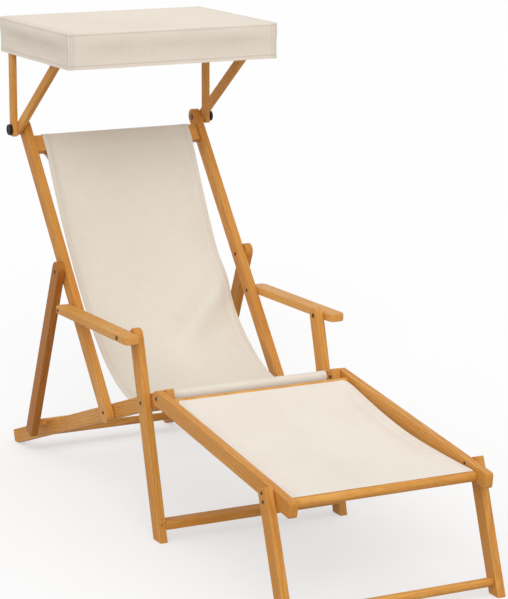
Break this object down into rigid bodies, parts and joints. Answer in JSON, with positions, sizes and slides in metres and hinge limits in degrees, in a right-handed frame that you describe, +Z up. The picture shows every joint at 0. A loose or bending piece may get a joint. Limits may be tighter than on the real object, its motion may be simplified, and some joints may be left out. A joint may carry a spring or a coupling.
{
  "type": "sun lounger with canopy",
  "caption": "Folding wooden sun lounger: hung canvas seat, back on props that stand in notched rails, armrests linked to the front legs, cloth footrest on its own legs, tilting canopy over the head.",
  "frame": {"origin": "middle of the footprint, on the ground, with the props standing in the middle one of their three notches", "axes": "+Y towards the head end, -Y towards the footrest, +Z up, +X to the right when seen from the foot end"},
  "size_m": [0.616, 1.7394, 1.2042],
  "materials": {
    "wood": "oiled satin",
    "canvas": "plain woven canvas",
    "fitting_steel": "zinc plated",
    "knob_plastic": "moulded matte"
  },
  "bodies": {
    "seat_frame": {"seat_rail_right": "wood", "seat_rail_left": "wood", "seat_front_bar": "wood", "seat_rear_stretcher": "wood", "back_pivot_bolt_right": "fitting_steel", "back_pivot_bolt_left": "fitting_steel", "leg_pivot_bolt_right": "fitting_steel", "leg_pivot_bolt_left": "fitting_steel", "footrest_pivot_bolt_right": "fitting_steel", "footrest_pivot_bolt_left": "fitting_steel", "seat_sling": "canvas"},
    "back_frame": {"back_rail_right": "wood", "back_rail_left": "wood", "head_slat": "wood", "prop_pivot_bolt_right": "fitting_steel", "prop_pivot_bolt_left": "fitting_steel", "arm_rear_bolt_right": "fitting_steel", "arm_rear_bolt_left": "fitting_steel", "canopy_hub_bolt_right": "fitting_steel", "canopy_hub_bolt_left": "fitting_steel"},
    "prop_frame": {"prop_rail_right": "wood", "prop_rail_left": "wood", "prop_notch_bar": "wood"},
    "front_legs": {"front_leg_right": "wood", "front_leg_left": "wood", "front_leg_stretcher": "wood", "arm_front_bolt_right": "fitting_steel", "arm_front_bolt_left": "fitting_steel"},
    "armrest_right": {"armrest_right": "wood"},
    "armrest_left": {"armrest_left": "wood"},
    "footrest_frame": {"footrest_rail_right": "wood", "footrest_rail_left": "wood", "footrest_rear_bar": "wood", "footrest_front_bar": "wood", "footrest_leg_right": "wood", "footrest_leg_left": "wood", "footrest_leg_stretcher": "wood", "footrest_leg_bolt_upper_right": "fitting_steel", "footrest_leg_bolt_upper_left": "fitting_steel", "footrest_leg_bolt_lower_right": "fitting_steel", "footrest_leg_bolt_lower_left": "fitting_steel", "footrest_sling": "canvas"},
    "canopy": {"canopy_front_strut_right": "wood", "canopy_front_strut_left": "wood", "canopy_rear_strut_right": "wood", "canopy_rear_strut_left": "wood", "canopy_side_rail_right": "wood", "canopy_side_rail_left": "wood", "canopy_front_bar": "wood", "canopy_rear_bar": "wood", "canopy_front_screw_right": "fitting_steel", "canopy_front_screw_left": "fitting_steel", "canopy_rear_screw_right": "fitting_steel", "canopy_rear_screw_left": "fitting_steel", "canopy_cover": "canvas"},
    "knob_right": {"canopy_knob_right": "knob_plastic"},
    "knob_left": {"canopy_knob_left": "knob_plastic"}
  },
  "joints": [
    {"name": "back_raise", "type": "hinge", "parent": "seat_frame", "child": "back_frame", "pos_m": [0, 0.18177, 0.24935], "axis": [1, 0, 0], "range_deg": [0, 12], "deforming": ["seat_sling"]},
    {"name": "prop_swing", "type": "hinge", "parent": "back_frame", "child": "prop_frame", "pos_m": [0, 0.43718, 0.5693], "axis": [1, 0, 0], "range_deg": [0, 30]},
    {"name": "leg_swing", "type": "hinge", "parent": "seat_frame", "child": "front_legs", "pos_m": [0, -0.0512, 0.3302], "axis": [1, 0, 0], "range_deg": [0, 18.2]},
    {"name": "arm_swing_right", "type": "hinge", "parent": "back_frame", "child": "armrest_right", "pos_m": [0, 0.36818, 0.48286], "axis": [-1, 0, 0], "range_deg": [0, 7.9]},
    {"name": "arm_swing_left", "type": "hinge", "parent": "back_frame", "child": "armrest_left", "pos_m": [0, 0.36818, 0.48286], "axis": [-1, 0, 0], "range_deg": [0, 7.9]},
    {"name": "footrest_swing", "type": "hinge", "parent": "seat_frame", "child": "footrest_frame", "pos_m": [0, -0.14284, 0.362], "axis": [-1, 0, 0], "range_deg": [0, 80]},
    {"name": "canopy_tilt", "type": "hinge", "parent": "back_frame", "child": "canopy", "pos_m": [0, 0.70688, 0.90715], "axis": [1, 0, 0], "range_deg": [-30, 45]},
    {"name": "knob_turn_right", "type": "hinge", "parent": "back_frame", "child": "knob_right", "pos_m": [0, 0.70688, 0.90715], "axis": [1, 0, 0], "range_deg": [0, 180]},
    {"name": "knob_turn_left", "type": "hinge", "parent": "back_frame", "child": "knob_left", "pos_m": [0, 0.70688, 0.90715], "axis": [-1, 0, 0], "range_deg": [0, 180]}
  ],
  "couplings": [
    {"joint": "leg_swing", "follows": "back_raise", "ratio": 1.5059},
    {"joint": "arm_swing_right", "follows": "back_raise", "ratio": 0.6514},
    {"joint": "arm_swing_left", "follows": "back_raise", "ratio": 0.6514}
  ]
}
